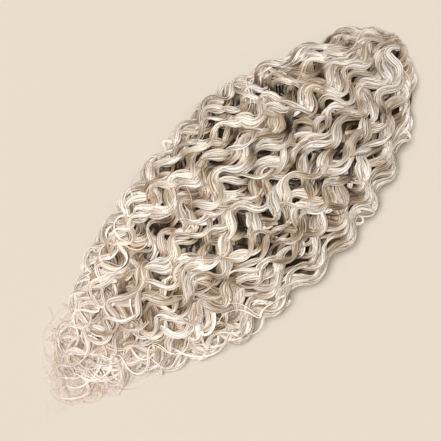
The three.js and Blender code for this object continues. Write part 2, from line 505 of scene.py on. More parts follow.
class Winder:
    """Winds the locks of a plan into strands, a step of the work in each method.

    Its arrays are locks by strands by steps. All steps draw from one seeded generator, so their order
    is part of the shape.
    """

    wave = WaveHabit()
    habit = LockHabit()
    shade = ShadeHabit()

    def __init__(self, plan: LockPlan, form: BundleForm, strand: StrandSize, seed: int) -> None:
        """Lay out the steps along each strand.

        Args:
            plan: The locks.
            form: The mound they lie in.
            strand: Size and play of their strands.
            seed: Seed of the strands' small differences.
        """
        self.plan = plan
        self.form = form
        self.strand = strand
        self.rng = np.random.default_rng(seed)
        self.locks = len(plan.lane)
        self.count = strand.count + strand.backing
        self.behind = np.arange(self.count)[None, :, None] < strand.backing
        self.share = np.linspace(0.0, 1.0, strand.steps)[None, None, :]
        self.end = self.lock(plan.end) + np.abs(self.chance(strand.end_spread))
        self.station = self.lock(plan.start) + (self.end - self.lock(plan.start)) * self.share
        self.x = form.x_at(self.station)
        self.place = form.at(self.x)
        self.calm = self.place.calm**strand.calm
        self.loosen = smooth(strand.loose_from, 1.0, self.share)
        self.astray = 1.0 - smooth(*self.wave.astray, self.station)
        self.lane = self.lock(plan.lane)
        self.wound = self.lock(plan.wound)

    def lock(self, values: np.ndarray) -> np.ndarray:
        """One value a lock, shaped to meet strands and steps."""
        return np.asarray(values, float)[:, None, None]

    def chance(self, spread: float) -> np.ndarray:
        """A seeded difference a strand, none for a backing ribbon."""
        return np.where(self.behind, 0.0, self.rng.normal(0.0, spread, (self.locks, self.count, 1)))

    def ripple(self, length: float, size: float) -> np.ndarray:
        """A slow wave along each lock, the same for all its strands and close to its neighbours'.

        Args:
            length: Length of the wave along the bundle.
            size: How far it goes.

        Returns:
            The wave's value along each lock.
        """
        own = self.wave.shared * self.lane + self.rng.normal(0.0, self.strand.own_way, (self.locks, 1, 1))
        return size * np.sin(TURN * (self.x / length + own))

    def waves(self) -> tuple[np.ndarray, np.ndarray]:
        """The angle of each lock's waves and how far they swing.

        The angle grows by one turn a pitch of the lane's own length, wanders slowly and swerves
        towards the tail. The swing swells along the lock and dies away in the gathered head.

        Returns:
            The angle in the lock's middle, and the swing of each strand.
        """
        wave, plan = self.wave, self.plan
        swerve_length, swerve_size = wave.swerve
        swerve_start = self.rng.random((self.locks, 1, 1))
        swerve = swerve_size * self.astray * np.sin(TURN * (self.x / swerve_length + swerve_start))
        edge = smooth(*wave.edge, np.abs(self.lane))
        wander = self.ripple(wave.wander_length, self.strand.wander) * (1.0 - wave.edge_calm * edge)
        run = self.form.run(self.x, plan.lane) / self.lock(plan.pitch)
        middle = TURN * (run + self.lock(plan.turn) + wander + swerve)
        swell = 1.0 + self.ripple(*wave.swell) + wave.loose_swing * self.loosen
        swing = self.lock(plan.swing) * self.calm * swell * (1.0 + self.chance(wave.strand_swing))
        gathered = 1.0 - wave.gathered_calm * smooth(*wave.gathered, self.station)
        return middle, swing * gathered * (1.0 + wave.astray_swing * self.astray)

    def section(self, middle: np.ndarray) -> tuple[np.ndarray, np.ndarray]:
        """Each lock's breadth, and its strands' places across it.

        The breadth follows a power of the bundle's own, is pinched by the square of the waves' sine,
        swells slowly and thins towards the free end.

        Args:
            middle: The angle of the waves.

        Returns:
            The breadth, and the places from -1/2 to 1/2.
        """
        habit, strand = self.habit, self.strand
        pinch = 1.0 - habit.pinch * (1.0 - self.wound) * np.sin(middle) ** 2
        point = strand.thin_tip + (1.0 - strand.thin_tip) * smooth(1.0, strand.thin_from, self.share)
        calm = self.place.calm ** np.where(self.station > 0.5, habit.head_power, habit.tail_power)
        breadth = self.lock(self.plan.width) * calm * pinch * point * (1.0 + self.ripple(*habit.swell))
        breadth = breadth * (1.0 - habit.astray_narrow * self.astray)
        places = np.linspace(-0.5, 0.5, strand.count) if strand.count > 1 else np.zeros(1)
        across = np.concatenate((np.zeros(strand.backing), places))[None, :, None]
        return breadth, across + self.chance(habit.uneven / self.count)

    def height(
        self, angle: np.ndarray, off: np.ndarray, breadth: np.ndarray, across: np.ndarray
    ) -> tuple[np.ndarray, np.ndarray, np.ndarray]:
        """Height of each strand: the share rise of the mound, tucked in at both ends, plus a bob that
        follows the waves' cosine and a slow wave, less an arch across the lock.

        Args:
            angle: The angle of the waves.
            off: Distance from the section's middle.
            breadth: The locks' breadth.
            across: The strands' places across it.

        Returns:
            The height, how high the waves carry a strand from -1 to 1, and how far it has sunk.
        """
        wave, habit, plan, strand = self.wave, self.habit, self.plan, self.strand
        each_lock = (self.locks, 1, 1)
        slow_length = self.rng.uniform(*wave.slow_lengths, each_lock)
        slow = np.sin(TURN * (self.x / slow_length + self.rng.random(each_lock)))
        sway = strand.in_step * self.lock(plan.hand) * np.cos(angle) + (1.0 - strand.in_step) * slow
        bob = wave.bob * self.lock(plan.lift) * self.calm * sway
        bend = habit.arch * (2.0 * across) ** 2 * (1.0 - self.wound)
        arch = breadth * np.where(self.behind, habit.backing_drop, bend)
        sunk = self.rng.random(each_lock) * self.astray
        root = habit.root_tuck + (1.0 - habit.root_tuck) * smooth(0.0, habit.root_tuck_share, self.share)
        tip = 1.0 - habit.tip_tuck * smooth(*habit.inside, self.end) * smooth(*habit.tip, self.share)
        rise = self.lock(plan.rise) * root * tip * (1.0 - habit.sink * sunk)
        z = rise * self.place.top(off) + bob - arch + self.chance(habit.height_play * strand.play)
        return z, sway, sunk

    def course(
        self, middle: np.ndarray, swing: np.ndarray, breadth: np.ndarray, across: np.ndarray
    ) -> Course:
        """Lead each strand along its lock.

        A strand lies at lane x reach from the middle. It swings square to its lane by swing x
        sin(angle), and along it by swing x loop x cos(angle), less a small sin(2 angle) that rounds
        the crests. In a wound lock the strands lag by their place across it, so it turns over on its
        edge at each crest; in a flat one they run side by side.

        Args:
            middle: The angle of the waves in the locks' middle.
            swing: How far the waves swing.
            breadth: The locks' breadth.
            across: The strands' places across it.

        Returns:
            The lines.
        """
        wave, habit, plan, strand, place = self.wave, self.habit, self.plan, self.strand, self.place
        lag = self.wound * across * breadth / self.lock(plan.pitch)
        turn = self.chance(wave.strand_turn) - lag + self.loosen * self.chance(strand.loosen_turn)
        angle = middle + TURN * turn
        lane = self.lane + self.lock(plan.drift) * (self.share - 0.5) + self.ripple(*wave.lane_ripple)
        lane = np.clip(lane, -strand.bound, strand.bound)
        reach = place.half_width - swing - habit.clear * breadth
        reach = np.maximum(reach, habit.least_reach * place.half_width)
        curl = strand.curl + (1.0 - strand.curl) * np.maximum(self.loosen, self.astray)
        ahead = self.lock(plan.loop) * np.cos(angle) * curl - wave.round_crest * np.sin(2.0 * angle)
        ahead = swing * ahead
        play = self.chance(strand.play) * self.calm * (1.0 + strand.loosen * self.loosen)
        aside = swing * np.sin(angle) + play
        line = np.stack((self.x, place.mid + self.lane * place.half_width), axis=-1)
        back = -unit(np.gradient(line, axis=2))
        off = lane * reach + aside * back[..., 0] + ahead * back[..., 1]
        stray_start = self.rng.random((self.locks, self.count, 1))
        stray = strand.stray * self.calm * np.sin(TURN * (self.x / wave.stray_length + stray_start))
        z, sway, sunk = self.height(angle, off, breadth, across)
        along = self.x + ahead * back[..., 0] - aside * back[..., 1]
        centres = np.stack((along, place.mid + off, z), axis=-1)
        way = unit(np.gradient(centres, axis=2) * np.array((1.0, 1.0, 0.0)))
        side = np.stack((-way[..., 1], way[..., 0], np.zeros_like(z)), axis=-1)
        centres = centres + ((1.0 - self.wound) * across * breadth + stray)[..., None] * side
        centres[..., 2] = np.maximum(centres[..., 2], habit.ground_gap + habit.ground_share * breadth)
        return Course(angle, off, z, sway, sunk, centres, way, side)

    def faces(self, course: Course, across: np.ndarray) -> np.ndarray:
        """Thin direction of each strand: out of the mound, rolled over across the lock and by its waves.

        Args:
            course: The strands' lines.
            across: The strands' places across the lock.

        Returns:
            A direction a step.
        """
        habit = self.habit
        wave = np.sin(course.angle + habit.twist_lag * self.lock(self.plan.hand))
        roll = habit.roll * (1.0 - self.wound) * across + (habit.twist + self.wound) * wave
        return self.place.lean(course.off) + roll[..., None] * course.side

    def sizes(self, course: Course, breadth: np.ndarray) -> tuple[np.ndarray, np.ndarray]:
        """Half widths and half depths: a ribbon spans its lock, and strands share it with some overlap.

        Args:
            course: The strands' lines.
            breadth: The locks' breadth.

        Returns:
            Half widths, and half depths.
        """
        habit, strand = self.habit, self.strand
        span = habit.backing_span * breadth * np.abs(1.0 - self.wound - self.wound * course.way[..., 1])
        span = span * (1.0 - habit.backing_astray * self.astray)
        own = strand.overlap * breadth / strand.count * (1.0 + self.chance(habit.strand_spread))
        root = habit.root_width + (1.0 - habit.root_width) * smooth(0.0, habit.root_width_share, self.share)
        width = np.where(self.behind, span, own) * root
        return 0.5 * width, 0.5 * width * np.where(self.behind, habit.backing_thickness, strand.thickness)

    def varied(self, strand_spread: float, lock_spread: float) -> np.ndarray:
        """A value from 0 to 1 a strand, drawn about 1/2.

        Args:
            strand_spread: How far strands differ.
            lock_spread: How far locks differ.

        Returns:
            The values.
        """
        drawn = 0.5 + self.chance(strand_spread) + self.rng.normal(0.0, lock_spread, (self.locks, 1, 1))
        return np.clip(drawn, 0.0, 1.0)

    def painted_shades(self, course: Course, across: np.ndarray) -> np.ndarray:
        """How far each strand lies out of painted shade: 1 less the shade painted in the waves' dips, deep
        in the mound's inside, at the locks' sides and in a round pocket.

        Args:
            course: The strands' lines.
            across: The strands' places across the lock.

        Returns:
            From 1 where no shade is painted down.
        """
        shade, strand, form = self.shade, self.strand, self.form
        # Painted shade where the waves carry a strand down under its neighbours.
        dip = (0.5 - 0.5 * course.sway) ** shade.dip_power
        dip = dip * np.clip(self.lock(self.plan.lift) / strand.full_dip, shade.least_dip, 1.0)
        dip = dip * (1.0 - shade.edge_relief * self.lane**shade.edge_power)
        dip = dip * (1.0 - shade.head_relief * smooth(*shade.head, self.station))
        body = smooth(*shade.body, self.station)
        body = body * (1.0 - shade.gather_relief * smooth(*shade.gather, self.station))
        # Painted shade deep inside the mound, less at the tail and at the gathered head.
        painted_shade = strand.burial_shade * (1.0 - self.place.nearness(course.off, course.z)) * body
        painted_shade = painted_shade + strand.dip_shade * dip * (shade.tail_dip + (1.0 - shade.tail_dip) * body)
        # Painted shade on strands sunk among the others towards the tail.
        painted_shade = painted_shade + shade.sunk * course.sunk
        # Painted shade in a round pocket beside the hooked lock.
        pocket = (course.centres[..., :2] - np.array(form.pocket)) / form.pocket_reach
        painted_shade = painted_shade + shade.pocket * np.exp(-np.sum(pocket**2, axis=-1))
        # Painted shade at the sides of each lock, darkening the locks' edges.
        sides = (2.0 * across) ** 2 * (shade.tail_side + (1.0 - shade.tail_side) * body)
        return 1.0 - painted_shade - shade.side * sides

    def strands(self) -> Strands:
        """Work through the steps in their order.

        Returns:
            The strands of all the locks, a row each.
        """
        middle, swing = self.waves()
        breadth, across = self.section(middle)
        course = self.course(middle, swing, breadth, across)
        half_widths, half_depths = self.sizes(course, breadth)
        tones = self.varied(*self.shade.tones)
        hues = self.varied(*self.shade.hues)
        rows = self.locks * self.count
        lines = (rows, self.strand.steps)
        return Strands(
            course.centres.reshape(*lines, 3),
            self.faces(course, across).reshape(*lines, 3),
            half_widths.reshape(lines),
            half_depths.reshape(lines),
            tones.reshape(rows),
            hues.reshape(rows),
            self.station.reshape(lines),
            self.painted_shades(course, across).reshape(lines),
        )


class SweptMesh:
    """Puts rings of points into a mesh of closed tubes.

    row_margin and end_margin keep a tube's strip clear of the others in the map for baking, and
    tube_shift gives each tube fibres of its own.
    """

    row_margin = 0.06
    end_margin = 0.01
    tube_shift = 0.37

    def __init__(self, name: str, rings: np.ndarray) -> None:
        """Make the mesh.

        Args:
            name: Name of the piece.
            rings: Points, tubes by sections by corners by 3, corners counter-clockwise along the path.
        """
        self.name = name
        self.rings = rings
        self.tubes, self.steps, self.corners = rings.shape[:3]
        self.mesh = bpy.data.meshes.new(name)
        self._faces()

    def _faces(self) -> None:
        """Join each ring to the next with quads and close both ends with one face each."""
        tubes, steps, corners = self.tubes, self.steps, self.corners
        index = np.arange(tubes * steps * corners).reshape(tubes, steps, corners)
        after = np.roll(index, -1, axis=2)
        quads = np.stack((index[:, :-1], after[:, :-1], after[:, 1:], index[:, 1:]), axis=-1)
        loops = np.concatenate((quads.ravel(), index[:, 0, ::-1].ravel(), index[:, -1].ravel()))
        count = quads.size // 4
        starts = np.concatenate((np.arange(count) * 4, quads.size + np.arange(2 * tubes) * corners))
        self.mesh.vertices.add(index.size)
        self.mesh.vertices.foreach_set("co", self.rings.astype(np.float32).ravel())
        self.mesh.loops.add(loops.size)
        self.mesh.loops.foreach_set("vertex_index", loops.astype(np.int32))
        self.mesh.polygons.add(starts.size)
        self.mesh.polygons.foreach_set("loop_start", starts.astype(np.int32))
        self.mesh.polygons.foreach_set("use_smooth", np.ones(starts.size, dtype=bool))
        self.mesh.update(calc_edges=True)

    def crease(self) -> "SweptMesh":
        """Crease the first corner's line and the one opposite, so that a flat tube shades as a ribbon.

        Returns:
            The same mesh.
        """
        ends = np.empty(2 * len(self.mesh.edges), np.int32)
        self.mesh.edges.foreach_get("vertices", ends)
        first, second = (ends.reshape(-1, 2) % self.corners).T
        sharp = (first == second) & (first % (self.corners // 2) == 0)
        store = self.mesh.attributes.new(name="sharp_edge", type="BOOLEAN", domain="EDGE")
        store.data.foreach_set("value", sharp)
        return self

    def unwrap(self, strands: int = 1) -> "SweptMesh":
        """Lay each tube out as a strip: one map for baking, with a row a tube, and one for the fibres.

        Args:
            strands: How many strands' worth of fibres run round each tube.

        Returns:
            The same mesh.
        """
        tubes, steps, corners = self.tubes, self.steps, self.corners
        lengths = np.linalg.norm(np.diff(self.rings.mean(axis=2), axis=1), axis=-1)
        metres = np.concatenate((np.zeros((tubes, 1)), np.cumsum(lengths, axis=1)), axis=1)
        along = self.end_margin + (1.0 - 2.0 * self.end_margin) * np.linspace(0.0, 1.0, steps)
        tube = np.arange(tubes)[:, None, None, None]
        side = (np.arange(corners)[None, None, :, None] + np.array((0, 1, 1, 0))) / corners
        step = np.arange(steps - 1)[None, :, None, None] + np.array((0, 0, 1, 1))
        row = (tube + self.row_margin + (1.0 - 2.0 * self.row_margin) * side) / tubes
        strip = np.stack(np.broadcast_arrays(along[step], row), axis=-1)
        fibres = strands * side + self.tube_shift * tube
        fibre = np.stack(np.broadcast_arrays(fibres, metres[tube, step]), axis=-1)
        for name, wall in (("OFBake", strip), ("fibre", fibre)):
            middle = wall.reshape(tubes, -1, 2).mean(axis=1)
            ends = np.tile(np.repeat(middle, corners, axis=0), (2, 1))
            flat = np.concatenate((wall.reshape(-1, 2), ends)).astype(np.float32)
            self.mesh.uv_layers.new(name=name).data.foreach_set("uv", flat.ravel())
        return self

    def mark(self, name: str, values: np.ndarray) -> "SweptMesh":
        """Give each point a number that the finish reads.

        Args:
            name: Name of the attribute.
            values: One number a tube, tubes by steps, or tubes by steps by corners.

        Returns:
            The same mesh.
        """
        shape = values.shape + (1,) * (3 - values.ndim)
        spread = np.broadcast_to(values.reshape(shape), (self.tubes, self.steps, self.corners))
        store = self.mesh.attributes.new(name=name, type="FLOAT", domain="POINT")
        store.data.foreach_set("value", spread.astype(np.float32).ravel())
        return self

    def piece(self, material: bpy.types.Material, nodes: tuple[str, ...]) -> bpy.types.Object:
        """Make the piece, ride it on the bundle and let it stand for its solids.

        Args:
            material: Its finish.
            nodes: Names of the solids it stands for.

        Returns:
            The piece.
        """
        self.mesh.materials.append(material)
        made = bpy.data.objects.new(self.name, self.mesh)
        bpy.context.scene.collection.objects.link(made)
        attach(made, "root")
        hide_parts(*nodes)
        faces = self.tubes * (self.steps - 1) * self.corners * 2 + 2 * self.tubes * (self.corners - 2)
        LOG.info("%s: %d strands, %d triangles", self.name, self.tubes, faces)
        return made


@dataclass(frozen=True)
class StrandPiece:
    """A piece made of strands: the profile they share and the painted shade in the creases at their edges.

    The painted edge shade grows as a strand's half width grows over rim_shade_widths. At the tail it has
    the share rim_shade_tail of that, and all of it past rim_shade_stations. ground is the lowest that a point
    may lie.
    """

    name: str
    nodes: tuple[str, ...]
    corners: int
    ground: float = 0.1 * MM
    rim_shade_widths: Pair = (0.15 * MM, 0.7 * MM)
    rim_shade_stations: Pair = (0.08, 0.5)
    rim_shade_tail: float = 0.3

    def build(self, strands: Strands, material: bpy.types.Material) -> bpy.types.Object:
        """Carry a flat oval profile along each strand's middle line, its thin way along the strand's face.

        Args:
            strands: The strands.
            material: Their finish.

        Returns:
            The piece.
        """
        along = unit(np.gradient(strands.centres, axis=1))
        broad = unit(np.cross(strands.faces, along))
        thin = np.cross(along, broad)
        angle = TURN * np.arange(self.corners) / self.corners
        wide = strands.half_widths[..., None, None] * np.cos(angle)[:, None] * broad[:, :, None, :]
        deep = strands.half_depths[..., None, None] * np.sin(angle)[:, None] * thin[:, :, None, :]
        rings = strands.centres[:, :, None, :] + wide + deep
        rings[..., 2] = np.maximum(rings[..., 2], self.ground)
        swept = SweptMesh(self.name, rings).crease().unwrap()
        swept.mark("hair_tone", strands.tones).mark("hair_hue", strands.hues)
        swept.mark("hair_station", strands.stations).mark("hair_depth", strands.painted_shades)
        # Painted shade in the creases at each strand's edges, less on thin strands and towards the tail.
        edge = np.clip(2.0 * np.abs(np.cos(angle)) - 1.0, 0.0, 1.0)
        warm = self.rim_shade_tail + (1.0 - self.rim_shade_tail) * smooth(*self.rim_shade_stations, strands.stations)
        warm = warm * smooth(*self.rim_shade_widths, strands.half_widths)
        swept.mark("hair_edge", warm[..., None] * edge)
        return swept.piece(material, self.nodes)


@dataclass(frozen=True)
class NodeTools:
    """Short ways to place and join shader nodes in a tree."""

    tree: bpy.types.NodeTree

    def add(self, kind: str, **settings: object) -> bpy.types.Node:
        """Add a node and set its fields.

        Args:
            kind: The node's type name.
            settings: Its fields.

        Returns:
            The node.
        """
        node = self.tree.nodes.new(kind)
        for key, value in settings.items():
            setattr(node, key, value)
        return node

    def feed(self, target: bpy.types.NodeSocket, value: object) -> None:
        """Join an output to an input, or set a number or colour there.

        Args:
            target: The input.
            value: An output, a number or a colour.
        """
        if isinstance(value, bpy.types.NodeSocket):
            self.tree.links.new(value, target)
        else:
            target.default_value = value if isinstance(value, float) else (*value, 1.0)

    def math(self, operation: str, *values: object) -> bpy.types.NodeSocket:
        """Add a Math node.

        Args:
            operation: What it does.
            values: Its inputs, outputs of other nodes or numbers.

        Returns:
            Its output.
        """
        node = self.add("ShaderNodeMath", operation=operation)
        for target, value in zip(node.inputs, values):
            self.feed(target, value)
        return node.outputs[0]

    def mix(self, share: object, first: object, second: object, blend: str = "MIX") -> bpy.types.NodeSocket:
        """Add a colour Mix node.

        Args:
            share: How much of the second.
            first: First colour.
            second: Second colour.
            blend: How they blend.

        Returns:
            Its colour output.
        """
        node = self.add("ShaderNodeMix", data_type="RGBA", blend_type=blend)
        share_in, first_in, second_in = (node.inputs[index] for index in (0, 6, 7))
        self.feed(share_in, share)
        self.feed(first_in, first)
        self.feed(second_in, second)
        return node.outputs[2]

    def ramp(
        self, place: bpy.types.NodeSocket, stops: tuple[tuple[float, Colour], ...]
    ) -> bpy.types.NodeSocket:
        """Add a colour ramp.

        Args:
            place: What it is read at.
            stops: Places and colours of its stops, from the lowest place up.

        Returns:
            Its colour output.
        """
        node = self.add("ShaderNodeValToRGB")
        elements = node.color_ramp.elements
        elements[1].position = stops[-1][0]
        elements[0].position = stops[0][0]
        for position, _ in stops[1:-1]:
            elements.new(position)
        for element, (_, colour) in zip(elements, stops):
            element.color = (*colour, 1.0)
        self.feed(node.inputs[0], place)
        return node.outputs[0]

    def attribute(self, name: str) -> bpy.types.NodeSocket:
        """Read a number that the piece's points carry."""
        return self.add("ShaderNodeAttribute", attribute_name=name).outputs["Fac"]


class FibreGroup:
    """The fine fibres in a strand: streaks along it, built once for all hair finishes."""

    name = "hair_fibres"
    stretch = (11.0, 20.0, 1.0)
    fine_detail = 3.0
    broad_scale = 0.5
    broad_detail = 1.0

    @classmethod
    def get(cls) -> bpy.types.NodeTree:
        """The node group: streaks are noise drawn out along the strand, the mean of fine and broad ones.

        Returns:
            The group, with inputs Vector and Fineness and outputs Streak and Height.
        """
        if cls.name in bpy.data.node_groups:
            return bpy.data.node_groups[cls.name]
        group = bpy.data.node_groups.new(cls.name, "ShaderNodeTree")
        group.interface.new_socket("Vector", in_out="INPUT", socket_type="NodeSocketVector")
        group.interface.new_socket("Fineness", in_out="INPUT", socket_type="NodeSocketFloat")
        group.interface.new_socket("Streak", in_out="OUTPUT", socket_type="NodeSocketFloat")
        group.interface.new_socket("Height", in_out="OUTPUT", socket_type="NodeSocketFloat")
        tools = NodeTools(group)
        given = tools.add("NodeGroupInput")
        result = tools.add("NodeGroupOutput")
        stretched = tools.add("ShaderNodeMapping", vector_type="POINT")
        stretched.inputs["Scale"].default_value = cls.stretch
        tools.feed(stretched.inputs["Vector"], given.outputs["Vector"])
        fine = tools.add("ShaderNodeTexNoise", noise_dimensions="2D")
        tools.feed(fine.inputs["Vector"], stretched.outputs[0])
        tools.feed(fine.inputs["Scale"], given.outputs["Fineness"])
        tools.feed(fine.inputs["Detail"], cls.fine_detail)
        broad = tools.add("ShaderNodeTexNoise", noise_dimensions="2D")
        tools.feed(broad.inputs["Vector"], stretched.outputs[0])
        tools.feed(broad.inputs["Scale"], cls.broad_scale)
        tools.feed(broad.inputs["Detail"], cls.broad_detail)
        both = tools.math("ADD", fine.outputs["Fac"], broad.outputs["Fac"])
        tools.feed(result.inputs["Streak"], tools.math("MULTIPLY", both, 0.5))
        tools.feed(result.inputs["Height"], fine.outputs["Fac"])
        return group


@dataclass(frozen=True)
class HairFinish:
    """Satin synthetic fibre: ash at the head, paler and creamier towards the tail.

    The colours tail, middle, head and gather stand at the stations; gather is partly the hair's own
    tone and partly painted light on the steep, shaded sides of the gathered head. Painted shade
    multiplies the colour by half_shade and deep_shade at the shade levels half_at and deep_at, and
    painted shade in the creases at a strand's edges multiplies it by rim. A strand's own tone and its
    streaks make a grain, kept from darkest to brightest and raised to a power a channel, so that dark
    fibres are warm ones. The streaks grow from tail_streak to streak.
    """

    tone: Tone
    # Partly the gathered head's own tone, partly painted light on its steep, shaded sides.
    gather: Colour = (0.81, 0.75, 0.685)
    head: Colour = (0.72, 0.71, 0.69)
    middle: Colour = (0.935, 0.935, 0.905)
    tail: Colour = (0.945, 0.89, 0.855)
    stations: tuple[float, ...] = (0.1, 0.5, 0.93, 0.985)
    half_shade: Colour = (0.51, 0.415, 0.315)
    deep_shade: Colour = (0.04, 0.024, 0.012)
    half_at: float = 0.82
    deep_at: float = 0.60
    tone_low: float = 0.66
    tone_high: float = 1.30
    cool: Colour = (0.975, 0.99, 1.01)
    warm: Colour = (1.025, 0.985, 0.915)
    rim_shade: Colour = (0.68, 0.58, 0.48)
    fineness: float = 1.0
    tail_streak: float = 3.6
    streak: float = 6.0
    streak_stations: Pair = (0.1, 0.45)
    brightest: float = 1.28
    darkest: float = 0.45
    grain: Colour = (1.0, 1.18, 1.4)
    roughness: float = 0.42
    rough_spread: float = 0.2
    specular: float = 0.42
    bump: float = 0.35
    bump_depth: float = 0.15 * MM

    def grain_colour(self, tools: NodeTools, streak: bpy.types.NodeSocket) -> bpy.types.NodeSocket:
        """How light each fibre is: the strand's tone x (1 + a share of the streak about its mean).

        Args:
            tools: The material's tree.
            streak: The fibre group's streaks.

        Returns:
            A colour to multiply by.
        """
        strand = tools.math("MULTIPLY_ADD", tools.attribute("hair_tone"), self.tone_high - self.tone_low,
                            self.tone_low)
        strength = tools.add("ShaderNodeMapRange")
        first, last = self.streak_stations
        limits = (tools.attribute("hair_station"), first, last, self.tail_streak, self.streak)
        for key, value in zip(("Value", "From Min", "From Max", "To Min", "To Max"), limits):
            tools.feed(strength.inputs[key], value)
        centred = tools.math("SUBTRACT", streak, 0.5)
        streaked = tools.math("MULTIPLY_ADD", centred, strength.outputs[0], 1.0)
        grain = tools.math("MINIMUM", tools.math("MULTIPLY", strand, streaked), self.brightest)
        grain = tools.math("MAXIMUM", grain, self.darkest)
        colour = tools.add("ShaderNodeCombineColor")
        for channel, power in zip(colour.inputs, self.grain):
            tools.feed(channel, tools.math("POWER", grain, power))
        return colour.outputs[0]

    def colour(self, tools: NodeTools, streak: bpy.types.NodeSocket) -> bpy.types.NodeSocket:
        """The run of colour along the bundle x the grain, the strand's hue, painted edge shade and painted
        shade.

        Args:
            tools: The material's tree.
            streak: The fibre group's streaks.

        Returns:
            The colour.
        """
        # The gather stop is partly painted light on the steep sides of the gathered head.
        run = tools.ramp(tools.attribute("hair_station"),
                         tuple(zip(self.stations, (self.tail, self.middle, self.head, self.gather))))
        hue = tools.mix(tools.attribute("hair_hue"), self.cool, self.warm)
        # Painted shade in the creases at a strand's edges.
        rim_shade = tools.mix(tools.attribute("hair_edge"), WHITE, self.rim_shade)
        # Painted shade: the colour darkens through half_shade to deep_shade as the shade level falls.
        shade = tools.ramp(tools.attribute("hair_depth"), (
            (self.deep_at, self.deep_shade), (self.half_at, self.half_shade), (1.0, WHITE)))
        lit = run
        for layer in (self.grain_colour(tools, streak), hue, rim_shade, shade):
            lit = tools.mix(1.0, lit, layer, "MULTIPLY")
        return lit

    def material(self) -> bpy.types.Material:
        """The finish as a material, with fibre streaks in colour, roughness and bump.

        Returns:
            The material.
        """
        made = bpy.data.materials.new("hair_" + self.tone.value)
        made.use_nodes = True
        tools = NodeTools(made.node_tree)
        shader = made.node_tree.nodes["Principled BSDF"]
        fibre = tools.add("ShaderNodeGroup", node_tree=FibreGroup.get())
        tools.feed(fibre.inputs["Fineness"], self.fineness)
        tools.feed(fibre.inputs["Vector"], tools.add("ShaderNodeUVMap", uv_map="fibre").outputs[0])
        tools.feed(shader.inputs["Base Color"], self.colour(tools, fibre.outputs["Streak"]))
        smoothest = self.roughness - 0.5 * self.rough_spread
        rough = tools.math("MULTIPLY_ADD", fibre.outputs["Height"], self.rough_spread, smoothest)
        tools.feed(shader.inputs["Roughness"], rough)
        bump = tools.add("ShaderNodeBump")
        tools.feed(bump.inputs["Strength"], self.bump)
        tools.feed(bump.inputs["Distance"], self.bump_depth)
        tools.feed(bump.inputs["Height"], fibre.outputs["Height"])
        tools.feed(shader.inputs["Normal"], bump.outputs[0])
        tools.feed(shader.inputs["Specular IOR Level"], self.specular)
        return made


@dataclass
class PackedCore:
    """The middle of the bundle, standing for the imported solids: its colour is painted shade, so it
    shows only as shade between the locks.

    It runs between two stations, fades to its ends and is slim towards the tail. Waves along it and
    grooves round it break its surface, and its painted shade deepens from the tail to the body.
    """

    form: BundleForm
    first: float = 0.06
    last: float = 0.955
    steps: int = 110
    corners: int = 40
    rise: float = 0.70
    breadth: float = 0.84
    end_fade: float = 0.08
    least_fade: float = 0.004
    full: Pair = (0.05, 0.35)
    slim_breadth: float = 0.75
    slim_rise: float = 0.7
    wave: float = 0.042
    wave_lag: float = 7.0
    wave_size: float = 1.5 * MM
    foot: float = 1.2 * MM
    least_top: float = 2.0 * MM
    side_power: float = 0.6
    grooves: int = 9
    groove_lag: float = 2.0
    groove_size: float = 0.8 * MM
    tone: float = 0.5
    hue: float = 0.5
    # Painted shade levels at the tail and in the body, 1 where none is painted.
    tail_shade_level: float = 0.92
    body_depth: float = 0.40
    body: Pair = (0.15, 0.6)

    def build(self, material: bpy.types.Material) -> bpy.types.Object:
        """Carry a flat-footed oval along the bundle: its width goes with cos(angle), its height with a
        power of sin(angle), and both are shifted by sine waves.

        Args:
            material: Its finish.

        Returns:
            The piece.
        """
        station = np.linspace(self.first, self.last, self.steps)[:, None]
        x = self.form.x_at(station)
        place = self.form.at(x)
        angle = TURN * np.arange(self.corners)[None, :] / self.corners
        end = np.minimum(station - self.first, self.last - station)
        fade = np.sqrt(np.clip(end / self.end_fade, self.least_fade, 1.0))
        full = smooth(*self.full, station)
        wave = np.sin(TURN * (x / self.wave) + self.wave_lag * np.cos(angle))
        breadth = self.breadth * (self.slim_breadth + (1.0 - self.slim_breadth) * full)
        off = place.half_width * breadth * fade * np.cos(angle) + self.wave_size * wave
        rise = self.rise * (self.slim_rise + (1.0 - self.slim_rise) * full)
        top = np.maximum(rise * place.top(off) * fade, self.least_top)
        up = np.sign(np.sin(angle)) * np.abs(np.sin(angle)) ** self.side_power
        groove = self.groove_size * (1.0 + np.sin(self.grooves * angle + self.groove_lag * wave)) * fade
        z = self.foot + top * (0.5 + 0.5 * up) + groove
        rings = np.stack((np.broadcast_to(x, z.shape), place.mid + off, z), axis=-1)[None]
        # Painted shade, light at the tail and deep in the body.
        shade_level = self.tail_shade_level + (self.body_depth - self.tail_shade_level) * smooth(*self.body, station.T)
        swept = SweptMesh("packed_core", rings).unwrap(self.corners)
        swept.mark("hair_tone", np.full(1, self.tone)).mark("hair_hue", np.full(1, self.hue))
        swept.mark("hair_station", station.T).mark("hair_depth", shade_level).mark("hair_edge", np.zeros(1))
        return swept.piece(material, ("upper_locks", "lower_locks"))


